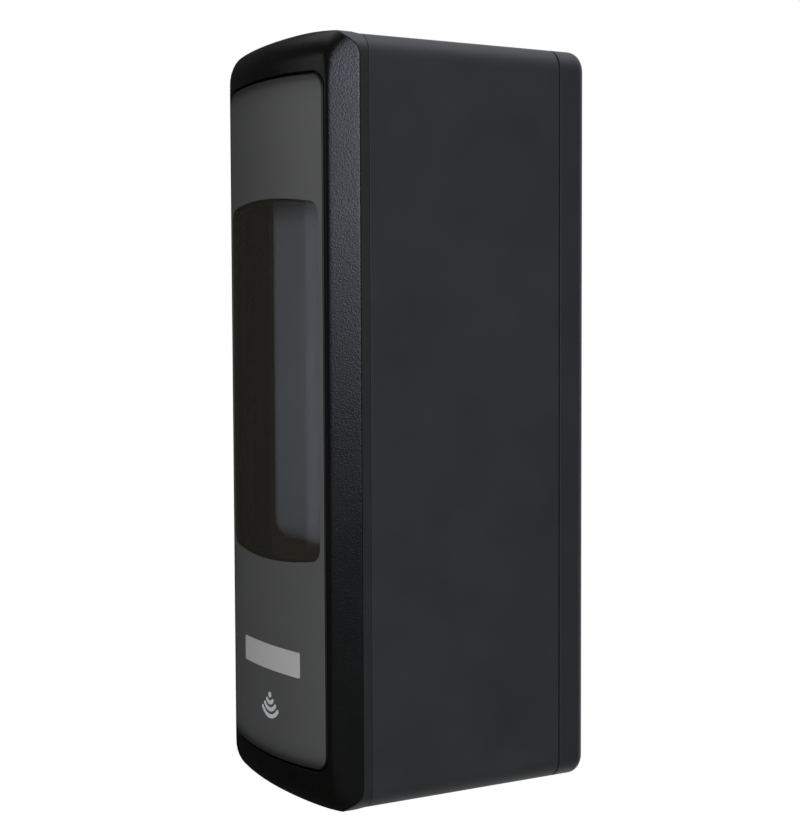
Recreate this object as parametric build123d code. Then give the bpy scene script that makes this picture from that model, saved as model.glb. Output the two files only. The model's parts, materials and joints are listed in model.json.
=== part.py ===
from build123d import *
import os
from math import acos, cos, pi, radians, sin, sqrt

# Touch-free soap dispenser for a wall, in millimetres.
# The origin is the centre of the face that lies on the wall. +X is right as seen from the front,
# +Y runs into the wall and +Z is up. Depths are written as distances out from the wall, so y = -out.

# Case
case_w = 100.0
case_h = 302.0
corner_r = 9.0          # corners seen from the front
wall = 2.5              # moulded wall
plate_depth = 13.2      # back plate, wall face to rim
plate_floor = 3.0
plate_edge_r = 4.5      # rounded edge against the wall
seam_gap = 0.8          # open seam between back plate and cover
shell_depth = 89.2      # cover shell, rim to rim
joint_gap = 0.3         # closed seam between shell and bezel
side_rib = 1.5          # stiffening ribs inside the shell

# Front of the cover
bezel_return = 4.0      # straight side of the bezel behind its crease
side_border = 9.8       # case side to panel edge
band_h = 14.5           # case top to the crown of the panel's edge
front_out = 123.0       # crown of the panel
front_r = 190.0         # convex front, in plan
panel_t = 3.0
panel_proud = 0.3       # panel above the bezel
panel_gap = 0.8         # groove round the panel
panel_corner_r = 6.0
panel_arch = 1.2        # rise of the panel's top and bottom edges in the middle
panel_ledge = 3.0       # bezel ledge that carries the panel
panel_edge_r = 0.8
ledge_t = 2.6
lip_w = 2.4             # level lip of the bezel round the groove
bezel_wall = 3.6
bezel_roll = 14.0       # how the bowed front rolls back at the bezel's top and foot
brow = 3.0              # rise of the bezel's top and bottom edges in the middle, above the case
tongue_l = 5.0          # bezel tongue inside the shell
tongue_t = 1.8
slip = 0.2              # loose fit of pieces that are pushed together
window_border = 2.8     # panel side to window
window_corner_r = 4.5
window_arch = 3.0       # rise of the window's top and bottom edges in the middle
window_ledge = 1.2
lens_t = 1.8
lens_gap = 0.1
badge_w = 48.0
badge_h = 10.2
badge_t = 0.3
badge_corner_r = 0.5
badge_drop = 40.0       # window foot to the middle of the badge

# Cover hinge
hinge_set = 11.0        # shell rim to hinge axis
knuckle_r = 3.0
pin_r = 1.5
pin_clear = 0.05
arm_x = 22.0            # inner side of a hinge arm
arm_w = 8.0
knuckle_w = 6.0
arm_gap = 0.3           # arm to knuckle
notch_room = 1.5        # round the arm in the shell

# Wall fixing
screw_dx = 84.0
screw_dz = 240.0
screw_hole_r = 2.75
screw_boss_r = 5.0
screw_boss_h = 2.0

# Soap path, stacked from the case floor upwards
pump_out = 71.5         # pump axis off the wall
outlet_half_w = 18.0
outlet_rear = 29.5      # pump axis to the rear edge of the outlet opening
outlet_front = 12.5
nozzle_clear = 2.5      # case floor to nozzle tip
nozzle_len = 27.0
nozzle_r = 5.0
nozzle_tip_r = 4.0
nozzle_bore_r = 2.5
nozzle_bore_l = 20.0
collar_r = 10.0
collar_t = 3.0
stroke = 9.0
pump_room = 3.0         # left between collar and pump at full stroke
piston_r = 6.0
piston_l = 24.0         # collar to piston head
piston_clear = 0.05
pump_r = 12.0
pump_len = 18.0         # pump below the cap
pump_fit = 0.3
cap_r = 19.0
cap_h = 15.0
cap_floor = 2.5
cap_ribs = 24
cap_rib_h = 0.6
neck_r = 14.0
neck_wall = 1.7
cap_clear = 1.0         # cap to shelf
ring_r = 18.0           # neck ring that hangs on the shelf
ring_t = 2.5
shelf_t = 3.0
neck_clear = 0.4        # neck in the shelf slot
shoulder_h = 12.5
shoulder_r = 25.0

# Refill bottle and cradle
bottle_w = 71.0
bottle_d = 70.0
bottle_corner_r = 13.0
bottle_edge_r = 9.0     # rounding at the foot
bottle_head_c = 4.0     # flat edge at the head
bottle_head = 7.0       # bottle to battery box
bottle_clear = 0.5      # bottle to cradle
cradle_t = 2.5
cradle_h = 128.0
cheek_h = 42.0
cheek_d = 34.0
shelf_front = 28.0      # shelf in front of the pump axis
cradle_leg_x = 30.0
window_drop = 3.8       # window foot below the bottle's foot
window_cut = 10.65      # window head below the bottle's head

# Batteries, hung under the lock
cell_r = 7.25
cell_l = 50.0
cell_nub_r = 2.6
cell_nub_l = 1.0
cell_pitch = 15.2
cell_count = 4
box_wall = 2.0
box_end_room = 2.0      # contact at each end of a cell
contact_t = 0.5
contact_w = 9.0
lid_t = 2.0
lid_grip_w = 18.0
box_under_lock = 5.0

# Lock in the top of the cover
lock_out = 26.0
lock_plug_r = 5.5
lock_clear = 0.05
lock_sleeve_r = 8.0
lock_flange_r = 10.0
lock_flange_t = 1.4
lock_sink = 0.3         # flange below the top face
lock_l = 14.0
nut_across = 20.0
nut_t = 3.4
cam_w = 9.0
cam_l = 16.0
cam_t = 2.0
cam_screw_r = 3.0
cam_screw_h = 2.0
key_slot_w = 1.4
key_slot_l = 7.0
key_slot_depth = 4.0
strike_gap = 1.0        # locked cam to strike lip
strike_t = 2.0
strike_w = 12.0
strike_x = 8.8          # inner edge of the lip
strike_h = 7.5

# Drive: motor behind a gear wall, two gear stages, rack and pinion in front of the gear cover
drive_half_w = 36.0
drive_h = 64.0
drive_gap = 1.0         # under the shelf
drive_wall = 2.0
motor_room = 25.0       # plate floor to gear wall
gear_wall = 2.5
gear_side_gap = 1.0
gear_face = 4.0
stage_gap = 0.5
rack_face = 5.5
rack_side_gap = 0.5
pressure_angle = 25.0
addendum = 0.8          # in modules
dedendum = 1.1
backlash = 0.12
gear_module = 0.8
rack_module = 1.0
motor_teeth = 10
idler_teeth = 32
idler_pinion_teeth = 10
drive_teeth = 36
rack_pinion_teeth = 12
drive_x = 14.0          # drive shaft
drive_under_collar = 7.0
idler_angle = 135.0     # from drive shaft to idler, seen from the front
motor_angle = 120.0     # from idler to motor
shaft_r = 2.5
shaft_clear = 0.05
axle_r = 1.5
motor_r = 10.2
motor_flat = 7.6        # axis to the two flat sides
motor_l = 22.0
motor_nose_r = 3.0
motor_nose_l = 1.5
motor_shaft_r = 1.0
rod_x = 26.0
rod_r = 2.0
rod_clear = 0.05
bush_r = 3.3
bush_h = 14.0
lug_t = 4.7
lug_half_w = 3.5
stop_gap = 0.3
yoke_t = 3.4
yoke_half_w = 31.0
fork_t = 3.0
yoke_drop = 4.0         # yoke below the fork
fork_half_w = 11.0
fork_clear = 0.6
fork_past = 10.5        # fork in front of the pump axis
rack_back = 7.0         # rack pitch line to its back
rack_over = 5.0         # rack beyond the mesh at each end
boss_r = 3.6
boss_inset = 3.6
screw_r = 1.4
screw_head_r = 2.6
screw_head_h = 1.8
screw_fit = 0.1

# Electronics
board_half_w = 22.0
board_h = 70.0
board_t = 1.6
board_post_h = 5.0
board_post_r = 3.0
board_inset = 4.0
board_rise = 12.0       # shelf to the foot of the board
sensor_half_w = 13.0
sensor_d = 17.0
sensor_h = 11.0
sensor_tab_h = 7.0
sensor_tab_t = 3.0
sensor_lift = 1.5       # sensor above the case floor
lens_inset = 3.0
sensor_lens_t = 0.8
led_r = 1.5
switch_x = 30.0
switch_up = 20.0        # above the drive shaft
switch_half_w = 1.5
switch_half_h = 2.0
switch_travel = 4.0
switch_knob = 1.5       # knob beyond its stem
switch_knob_t = 2.8
switch_clear = 0.15

# Levels and depths that follow
top = case_h / 2
floor = -case_h / 2
half_w = case_w / 2
shell_rear = plate_depth + seam_gap
shell_front = shell_rear + shell_depth
bezel_rear = shell_front + joint_gap
crease_out = bezel_rear + bezel_return
arc_centre_y = front_r - front_out
panel_w = case_w - 2 * side_border
panel_h = case_h - 2 * band_h
hinge_out = shell_rear + hinge_set
hinge_z = floor + knuckle_r
nozzle_z = floor + wall + nozzle_clear
collar_z = nozzle_z + nozzle_len
pump_z = collar_z + collar_t + stroke + pump_room
cap_z = pump_z + pump_len
shelf_z = cap_z + cap_h + cap_clear
ring_z = shelf_z + shelf_t
bottle_z = ring_z + ring_t + shoulder_h
lock_top = top - lock_sink
lock_foot = lock_top - lock_l
cam_z = lock_foot - cam_t - lock_clear
box_top = cam_z - cam_screw_h - box_under_lock
box_h = 2 * cell_r + 2 * box_wall + 2 * lens_gap
box_z = box_top - lid_t - box_h
bottle_top = box_z - bottle_head
window_z0 = bottle_z - window_drop
window_z1 = bottle_top - window_cut
window_w = panel_w - 2 * window_border
badge_z = window_z0 - badge_drop
drive_top = shelf_z - drive_gap
drive_foot = drive_top - drive_h
gear_wall_out = plate_floor + motor_room
stage1_out = gear_wall_out + gear_wall + gear_side_gap
stage2_out = stage1_out + gear_face + stage_gap
gear_cover_out = stage2_out + gear_face + gear_side_gap
gear_front = gear_cover_out + drive_wall
rack_out = gear_front + rack_side_gap
rod_out = gear_front + bush_r + rack_side_gap / 2
yoke_out = rack_out + rack_face
yoke_z = collar_z - fork_t - yoke_drop + bush_h / 2
drive_z = collar_z + drive_under_collar


def block(x0, x1, out0, out1, z0, z1):
    """Box between two x, two distances from the wall and two heights."""
    middle = Pos((x0 + x1) / 2, -(out0 + out1) / 2, (z0 + z1) / 2)
    return middle * Box(x1 - x0, out1 - out0, z1 - z0)


def from_front(outline, out0, out1):
    """A front-view outline, x right and z up, run from one distance off the wall to another."""
    return extrude(Plane.XZ.offset(out0) * outline, out1 - out0)


def rounded(width, height, radius, z=0.0):
    """Rounded rectangle in front view."""
    return Pos(0, z) * RectangleRounded(width, height, radius)


def arched(width, height, radius, rise, z=0.0):
    """Rounded rectangle in front view whose top and bottom edges are shallow arcs, highest in the middle."""
    x = width / 2
    crown = height / 2
    end = crown - rise
    sides = [Line((x, -end), (x, end)), Line((-x, end), (-x, -end))]
    arcs = [ThreePointArc((x, end), (0, crown), (-x, end)), ThreePointArc((-x, -end), (0, -crown), (x, -end))]
    outline = make_face(sides + arcs)
    return Pos(0, z) * fillet(outline.vertices(), radius)


def upright(x, out, z0, z1, radius):
    """Vertical round bar."""
    return Pos(x, -out, (z0 + z1) / 2) * Cylinder(radius, z1 - z0)


def outward(x, z, out0, out1, radius):
    """Round bar square to the wall."""
    return from_front(Pos(x, z) * Circle(radius), out0, out1)


def sideways(x0, x1, out, z, radius):
    """Round bar along the width."""
    return Pos((x0 + x1) / 2, -out, z) * Rot(0, 90, 0) * Cylinder(radius, x1 - x0)


def both_sides(piece):
    """The piece and its mirror image across the middle plane."""
    return piece + mirror(piece, about=Plane.YZ)


def front_bow(radius, z0, z1):
    """Upright cylinder about the axis of the convex front."""
    return Pos(0, arc_centre_y, (z0 + z1) / 2) * Cylinder(radius, z1 - z0)


def bow_y(x, radius):
    """The y of the convex front at x, for a radius about its axis."""
    return arc_centre_y - sqrt(radius**2 - x**2)


def back_plate():
    """Tray on the wall: floor, low rim, wall screw bosses, board posts and two hinge arms."""
    tray = from_front(rounded(case_w, case_h, corner_r), 0, plate_depth)
    tray = fillet(tray.faces().sort_by(Axis.Y)[-1].edges(), plate_edge_r)
    hollow = rounded(case_w - 2 * wall, case_h - 2 * wall, corner_r - wall)
    tray -= from_front(hollow, plate_floor, plate_depth)
    arm = block(arm_x, arm_x + arm_w, plate_floor, hinge_out, floor, floor + 2 * knuckle_r)
    arm += sideways(arm_x, arm_x + arm_w, hinge_out, hinge_z, knuckle_r)
    arm -= sideways(arm_x, arm_x + arm_w, hinge_out, hinge_z, pin_r)
    tray += both_sides(arm)
    for x in (-screw_dx / 2, screw_dx / 2):
        for z in (-screw_dz / 2, screw_dz / 2):
            tray += outward(x, z, plate_floor, plate_floor + screw_boss_h, screw_boss_r)
            tray -= outward(x, z, 0, plate_floor + screw_boss_h, screw_hole_r)
    for x, z in board_posts():
        tray += block(x - board_post_r, x + board_post_r, plate_floor, plate_floor + board_post_h,
                      z - board_post_r, z + board_post_r)
    return tray


def board_posts():
    """Middles of the four posts under the circuit board."""
    foot = ring_z + board_rise
    rows = (foot + board_inset, foot + board_h - board_inset)
    return [(x, z) for x in (board_inset - board_half_w, board_half_w - board_inset) for z in rows]


def hinge_pins():
    """Two steel pins, fast in the arms, that the cover's knuckles turn on."""
    pin = sideways(arm_x, arm_x + arm_w + arm_gap + knuckle_w, hinge_out, hinge_z, pin_r)
    return both_sides(pin)


def cover_shell():
    """Four moulded side walls with the outlet opening, hinge knuckles, lock hole and inner ribs."""
    shell = from_front(rounded(case_w, case_h, corner_r), shell_rear, shell_front)
    inside = rounded(case_w - 2 * wall, case_h - 2 * wall, corner_r - wall)
    shell -= from_front(inside, shell_rear, shell_front)
    rib_rear = hinge_out + knuckle_r
    rib_front = shell_front - tongue_l - wall
    for z in (-case_h / 4, 0, case_h / 4):
        rib = block(half_w - wall - side_rib, half_w - wall, rib_rear, rib_front, z, z + side_rib)
        shell += both_sides(rib)
    notch = block(arm_x - notch_room, arm_x + arm_w + arm_gap, shell_rear, hinge_out + knuckle_r + notch_room,
                  floor, floor + wall)
    shell -= both_sides(notch)
    knuckle_x = arm_x + arm_w + arm_gap
    knuckle = sideways(knuckle_x, knuckle_x + knuckle_w, hinge_out, hinge_z, knuckle_r)
    knuckle += block(knuckle_x, knuckle_x + knuckle_w, hinge_out - knuckle_r, hinge_out + knuckle_r,
                     floor, hinge_z)
    knuckle -= sideways(knuckle_x, knuckle_x + knuckle_w, hinge_out, hinge_z, pin_r + pin_clear)
    bored = block(knuckle_x, knuckle_x + knuckle_w, hinge_out - knuckle_r, hinge_out + knuckle_r,
                  floor, floor + wall)
    shell -= both_sides(bored)
    shell += both_sides(knuckle)
    shell -= block(-outlet_half_w, outlet_half_w, pump_out - outlet_rear, pump_out + outlet_front,
                   floor, floor + wall)
    shell -= upright(0, lock_out, top - wall, top, lock_sleeve_r)
    shell -= upright(0, lock_out, lock_top - lock_flange_t, top, lock_flange_r + slip / 2)
    return shell


def bezel_roof(lip_x, z):
    """Plan of the bezel at one height before its front is bowed: the raked sides run on to a ridge."""
    rise = -crease_out - bow_y(lip_x, front_r - panel_proud)
    ridge_y = -crease_out - rise * half_w / (half_w - lip_x)
    outline = Polyline((-half_w, -bezel_rear), (-half_w, -crease_out), (0, ridge_y), (half_w, -crease_out),
                       (half_w, -bezel_rear), close=True)
    return Plane.XY.offset(z) * make_face(outline)


def bezel_side(crown):
    """Side view of the bezel's reach: level with the case at its rear, rising to a crown at top and foot."""
    crest = front_out - panel_proud - bezel_roll
    upper = [(-bezel_rear, top), (-crest, crown), (-front_out, crown)]
    lower = [(y, -z) for y, z in reversed(upper)]
    outline = Plane.YZ.offset(-half_w) * make_face(Polyline(*upper, *lower, close=True))
    return extrude(outline, case_w)


def front_bezel():
    """Front frame: lip round the panel, raked sides, top and foot that roll back, ledge and rear tongue."""
    lip_x = panel_w / 2 + panel_gap + lip_w
    crown = top + brow
    bow = front_bow(front_r - panel_proud, -crown, crown)
    frame = fillet(bow.edges().filter_by(GeomType.CIRCLE), bezel_roll)
    frame &= extrude(bezel_roof(lip_x, -crown), 2 * crown)
    frame &= from_front(arched(case_w, 2 * crown, corner_r, brow), bezel_rear, front_out)
    frame &= bezel_side(crown)
    room = extrude(offset(bezel_roof(lip_x, -top), -bezel_wall), case_h)
    room += block(bezel_wall - half_w, half_w - bezel_wall, bezel_rear, crease_out, floor, top)
    room &= front_bow(front_r - panel_t - ledge_t, floor, top)
    room &= from_front(rounded(case_w - 2 * wall, case_h - 2 * wall, corner_r - wall), bezel_rear, front_out)
    frame -= room
    seat = arched(panel_w + 2 * panel_gap, panel_h + 2 * panel_gap, panel_corner_r + panel_gap, panel_arch)
    frame -= from_front(seat, bezel_rear, front_out) - front_bow(front_r - panel_t, floor, top)
    mouth = arched(panel_w - 2 * panel_ledge, panel_h - 2 * panel_ledge, panel_corner_r, panel_arch)
    frame -= from_front(mouth, bezel_rear, front_out)
    outer = rounded(case_w - 2 * (wall + slip), case_h - 2 * (wall + slip), corner_r - wall - slip)
    inner_w = case_w - 2 * (wall + slip + tongue_t)
    inner_h = case_h - 2 * (wall + slip + tongue_t)
    tongue = outer - rounded(inner_w, inner_h, corner_r - wall - slip - tongue_t)
    frame += from_front(tongue, bezel_rear - tongue_l, crease_out)
    return frame


def front_panel():
    """Convex panel with a stepped window opening and softened edges."""
    panel = from_front(arched(panel_w, panel_h, panel_corner_r, panel_arch), bezel_rear, front_out + panel_t)
    panel &= front_bow(front_r, floor, top)
    rim = panel.edges().filter_by(lambda e: e.center().Y < bow_y(panel_w / 2, front_r) + panel_edge_r / 4)
    panel = fillet(rim, panel_edge_r)
    panel -= front_bow(front_r - panel_t, floor, top)
    panel -= from_front(window_outline(window_ledge), bezel_rear, front_out)
    recess = from_front(window_outline(0), bezel_rear, front_out)
    return panel - (recess - front_bow(front_r - lens_t - 2 * lens_gap, floor, top))


def window_outline(inset):
    """Outline of the window in front view, drawn in all round."""
    height = window_z1 - window_z0 - 2 * inset
    middle = (window_z0 + window_z1) / 2
    return arched(window_w - 2 * inset, height, window_corner_r - inset, window_arch, middle)


def window_lens():
    """Smoked lens that fills the window, bonded on the step."""
    lens = from_front(window_outline(lens_gap), bezel_rear, front_out)
    lens &= front_bow(front_r - lens_gap, floor, top)
    return lens - front_bow(front_r - lens_gap - lens_t, floor, top)


def badge_plate():
    """Thin bare plate on the panel below the window."""
    plate = from_front(rounded(badge_w, badge_h, badge_corner_r, z=badge_z), bezel_rear, front_out + panel_t)
    plate &= front_bow(front_r + badge_t, floor, top)
    return plate - front_bow(front_r, floor, top)


def refill_bottle():
    """Rounded square bottle hanging neck down, with a neck ring and an open neck for the pump."""
    body = Pos(0, -pump_out) * RectangleRounded(bottle_w, bottle_d, bottle_corner_r)
    bottle = extrude(Plane.XY.offset(bottle_z) * body, bottle_top - bottle_z)
    bottle = fillet(bottle.faces().sort_by(Axis.Z)[0].edges(), bottle_edge_r)
    bottle = chamfer(bottle.faces().sort_by(Axis.Z)[-1].edges(), bottle_head_c)
    cone = Pos(0, -pump_out, bottle_z - shoulder_h / 2) * Cone(neck_r, shoulder_r, shoulder_h)
    bottle += cone
    bottle += upright(0, pump_out, ring_z, ring_z + ring_t, ring_r)
    neck_foot = cap_z + cap_floor + slip
    bottle += upright(0, pump_out, neck_foot, ring_z, neck_r)
    return bottle - upright(0, pump_out, neck_foot, ring_z + ring_t, neck_r - neck_wall)


def cap_outline():
    """Fluted grip of the cap in plan: ridges and hollows by turns."""
    points = []
    for step in range(2 * cap_ribs):
        radius = cap_r + (cap_rib_h if step % 2 else 0.0)
        angle = pi * step / cap_ribs
        points.append((radius * cos(angle), radius * sin(angle) - pump_out))
    return make_face(Polyline(*points, close=True))


def bottle_cap():
    """Fluted closure that clamps the pump to the neck."""
    cap = extrude(Plane.XY.offset(cap_z) * cap_outline(), cap_h)
    cap -= upright(0, pump_out, cap_z + cap_floor, cap_z + cap_h, neck_r + slip)
    return cap - upright(0, pump_out, cap_z, cap_z + cap_floor, pump_r + slip)


def pump_body():
    """Sealed pump, its barrel inside the neck and its guide below the cap."""
    pump = upright(0, pump_out, pump_z, ring_z, pump_r)
    bore_top = collar_z + piston_l + stroke + pump_fit
    return pump - upright(0, pump_out, pump_z, bore_top, piston_r + piston_clear)


def pump_piston():
    """Piston rod, the collar that the fork lifts, and the outlet nozzle."""
    piston = upright(0, pump_out, collar_z, collar_z + piston_l, piston_r)
    piston += upright(0, pump_out, collar_z, collar_z + collar_t, collar_r)
    nozzle = Pos(0, -pump_out, collar_z - nozzle_len / 2) * Cone(nozzle_tip_r, nozzle_r, nozzle_len)
    piston += nozzle
    return piston - upright(0, pump_out, nozzle_z, nozzle_z + nozzle_bore_l, nozzle_bore_r)


def bottle_cradle():
    """Back wall, cheeks and slotted shelf that hold the bottle, on two legs off the back plate."""
    rear = pump_out - bottle_d / 2 - bottle_clear
    side = bottle_w / 2 + bottle_clear
    outer = side + cradle_t
    cradle = block(-outer, outer, rear - cradle_t, rear, shelf_z, shelf_z + cradle_h)
    cradle += both_sides(block(side, outer, rear, rear + cheek_d, shelf_z, shelf_z + cheek_h))
    shelf = block(-outer, outer, rear - cradle_t, pump_out + shelf_front, shelf_z, ring_z)
    slot_r = neck_r + neck_clear
    shelf -= upright(0, pump_out, shelf_z, ring_z, slot_r)
    shelf -= block(-slot_r, slot_r, pump_out, pump_out + shelf_front, shelf_z, ring_z)
    cradle += shelf
    leg = block(cradle_leg_x, cradle_leg_x + cradle_t, plate_floor, rear, shelf_z, shelf_z + cradle_h)
    cradle += both_sides(leg)
    opening = rounded(2 * cradle_leg_x - 4 * cradle_t, cheek_h, corner_r, z=shelf_z + cradle_h - cheek_h)
    return cradle - from_front(opening, rear - cradle_t, rear)


def cell_places():
    """Middles of the cells across the battery box."""
    return [(i - (cell_count - 1) / 2) * cell_pitch for i in range(cell_count)]


def box_half_width():
    """Half the outside width of the battery box."""
    return cell_pitch * cell_count / 2 + box_wall


def battery_rear():
    """Distance from the wall to the rear end of the cells."""
    return plate_floor + box_wall + box_end_room


def battery_front():
    """Distance from the wall to the front end of the battery box."""
    return battery_rear() + cell_l + cell_nub_l + box_end_room + box_wall


def battery_box():
    """Open-topped box on the back plate above the bottle, with ribs between the cells."""
    half = box_half_width()
    front = battery_front()
    box = block(-half, half, plate_floor, front, box_z, box_z + box_h)
    box -= block(box_wall - half, half - box_wall, plate_floor + box_wall, front - box_wall,
                 box_z + box_wall, box_z + box_h)
    rib_t = cell_pitch - 2 * cell_r - 2 * lens_gap
    for x in cell_places()[:-1]:
        middle = x + cell_pitch / 2
        box += block(middle - rib_t / 2, middle + rib_t / 2, battery_rear() + cell_nub_l,
                     battery_rear() + cell_l, box_z, box_z + box_h / 2)
    return box


def batteries():
    """Round cells side by side, turned end for end."""
    cells = []
    z = box_z + box_wall + lens_gap + cell_r
    rear = battery_rear()
    for i, x in enumerate(cell_places()):
        start = rear + (cell_nub_l if i % 2 else 0)
        cell = outward(x, z, start, start + cell_l, cell_r)
        nub = (rear, start) if i % 2 else (start + cell_l, start + cell_l + cell_nub_l)
        cells.append(cell + outward(x, z, nub[0], nub[1], cell_nub_r))
    return Compound(children=cells)


def battery_contacts():
    """Sprung contact at each end of each cell, seated in the end walls of the box."""
    contacts = []
    z = box_z + box_wall + lens_gap + cell_r
    rear_wall = plate_floor + box_wall
    front_wall = battery_front() - box_wall
    for x in cell_places():
        for out0, out1 in ((rear_wall, battery_rear()), (front_wall - box_end_room, front_wall)):
            at_rear = out0 == rear_wall
            plate = (out0, out0 + contact_t) if at_rear else (out1 - contact_t, out1)
            leaf = block(x - contact_w / 2, x + contact_w / 2, plate[0], plate[1], z - contact_w / 2,
                         z + contact_w / 2)
            fold = (out0, out1 - lens_gap) if at_rear else (out0 + lens_gap, out1)
            contacts.append(leaf + block(x - cell_nub_r, x + cell_nub_r, fold[0], fold[1], z - contact_t,
                                         z + contact_t))
    return Compound(children=contacts)


def battery_lid():
    """Lid on the battery box with a finger grip."""
    half = box_half_width()
    z = box_z + box_h
    lid = block(-half, half, plate_floor, battery_front(), z, z + lid_t)
    grip_out = battery_front() - lid_grip_w
    for i in range(5):
        out = grip_out + i * 2 * box_wall
        lid -= block(-lid_grip_w / 2, lid_grip_w / 2, out, out + box_wall, z + lid_t / 2, z + lid_t)
    return lid


def lock_housing():
    """Fixed sleeve of the lock, its flange sunk in the top of the cover."""
    sleeve = upright(0, lock_out, lock_foot, lock_top, lock_sleeve_r)
    sleeve += upright(0, lock_out, lock_top - lock_flange_t, lock_top, lock_flange_r)
    return sleeve - upright(0, lock_out, lock_foot, lock_top, lock_plug_r + lock_clear)


def lock_nut():
    """Hexagon nut under the top wall that holds the lock sleeve."""
    nut_z = top - wall - nut_t
    hexagon = Pos(0, -lock_out) * RegularPolygon(nut_across / sqrt(3), 6)
    return extrude(Plane.XY.offset(nut_z) * hexagon, nut_t) - upright(0, lock_out, nut_z, top, lock_sleeve_r)


def lock_plug():
    """Plug that the key turns."""
    plug = upright(0, lock_out, lock_foot - lock_clear, lock_top, lock_plug_r)
    return plug - block(-key_slot_w / 2, key_slot_w / 2, lock_out - key_slot_l / 2, lock_out + key_slot_l / 2,
                        lock_top - key_slot_depth, lock_top)


def lock_cam():
    """Cam tongue on the foot of the plug with its screw, pointing back to the wall when unlocked."""
    cam = upright(0, lock_out, cam_z, cam_z + cam_t, cam_w / 2)
    cam += block(-cam_w / 2, cam_w / 2, lock_out - cam_l, lock_out, cam_z, cam_z + cam_t)
    return cam + upright(0, lock_out, cam_z - cam_screw_h, cam_z, cam_screw_r)


def latch_strike():
    """Bracket off the back plate whose lip stands in front of the locked cam."""
    lip_out = lock_out + cam_w / 2 + strike_gap
    side = strike_x + strike_w
    z1 = lock_foot - 4 * lens_gap
    strike = block(side - strike_t, side, plate_floor, lip_out + strike_t, z1 - strike_h, z1)
    strike += block(strike_x, side, lip_out, lip_out + strike_t, z1 - strike_h, z1)
    return strike


def gear_outline(teeth, module, phase):
    """Involute spur gear in front view, with a tooth pointing at the phase angle."""
    pitch = module * teeth / 2
    base = pitch * cos(radians(pressure_angle))
    root = pitch - dedendum * module
    tip = pitch + addendum * module
    half_tooth = (pi * module / 2 - backlash) / (2 * pitch)

    def roll(radius):
        return sqrt((radius / base)**2 - 1) - acos(base / radius) if radius > base else 0.0

    flank = sorted({root, max(base, root), pitch, tip})
    points = []
    for tooth in range(teeth):
        middle = radians(phase) + 2 * pi * tooth / teeth
        for side, radii in ((-1, flank), (1, flank[::-1])):
            for radius in radii:
                angle = middle + side * (half_tooth + roll(pitch) - roll(radius))
                points.append((radius * cos(angle), radius * sin(angle)))
    return make_face(Polyline(*points, close=True))


def gear(teeth, module, x, z, out0, out1, phase):
    """Spur gear on an axis square to the wall."""
    return from_front(Pos(x, z) * gear_outline(teeth, module, phase), out0, out1)


def idler_place():
    """Idler axis: the idler pinion meshes with the drive gear."""
    reach = gear_module * (drive_teeth + idler_pinion_teeth) / 2
    turn = radians(idler_angle)
    return drive_x + reach * cos(turn), drive_z + reach * sin(turn)


def motor_place():
    """Motor axis: the motor pinion meshes with the idler gear."""
    reach = gear_module * (idler_teeth + motor_teeth) / 2
    turn = radians(motor_angle)
    x, z = idler_place()
    return x + reach * cos(turn), z + reach * sin(turn)


def drive_gear():
    """Last gear of the train with the shaft that carries the rack pinion."""
    wheel = gear(drive_teeth, gear_module, drive_x, drive_z, stage2_out, stage2_out + gear_face, idler_angle)
    return wheel + outward(drive_x, drive_z, gear_wall_out, rack_out, shaft_r)


def rack_pinion():
    """Pinion on the drive shaft, in mesh with the rack."""
    return gear(rack_pinion_teeth, rack_module, drive_x, drive_z, rack_out, rack_out + rack_face, 180.0)


def idler_gear():
    """Wheel and pinion moulded in one, running on a fixed axle."""
    x, z = idler_place()
    wheel = gear(idler_teeth, gear_module, x, z, stage1_out, stage1_out + gear_face, motor_angle)
    phase = idler_angle + 180.0 + 180.0 / idler_pinion_teeth
    front = stage2_out + gear_face
    pinion = gear(idler_pinion_teeth, gear_module, x, z, stage1_out + gear_face, front, phase)
    return wheel + pinion - outward(x, z, stage1_out, front, axle_r + shaft_clear)


def idler_axle():
    """Steel axle of the idler, held by the gear wall and the gear cover."""
    x, z = idler_place()
    return outward(x, z, gear_wall_out, gear_front, axle_r)


def motor_pinion():
    """Motor shaft with its pinion."""
    x, z = motor_place()
    phase = motor_angle + 180.0 + 180.0 / motor_teeth
    pinion = gear(motor_teeth, gear_module, x, z, stage1_out, stage1_out + gear_face, phase)
    return pinion + outward(x, z, gear_wall_out - motor_l / 2, stage1_out, motor_shaft_r)


def drive_motor():
    """Small direct current motor with two flats, its nose through the gear wall."""
    x, z = motor_place()
    rear = gear_wall_out - motor_l
    can = outward(x, z, rear, gear_wall_out, motor_r)
    can &= block(x - motor_r, x + motor_r, rear, gear_wall_out, z - motor_flat, z + motor_flat)
    can += outward(x, z, gear_wall_out, gear_wall_out + motor_nose_l, motor_nose_r)
    nose = gear_wall_out + motor_nose_l
    return can - outward(x, z, gear_wall_out - motor_l / 2, nose, motor_shaft_r + shaft_clear)


def drive_screw_places():
    """Middles of the four gear cover screws."""
    x = drive_half_w - boss_inset
    return [(side * x, z) for side in (-1, 1) for z in (drive_foot + boss_inset, drive_top - boss_inset)]


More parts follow.
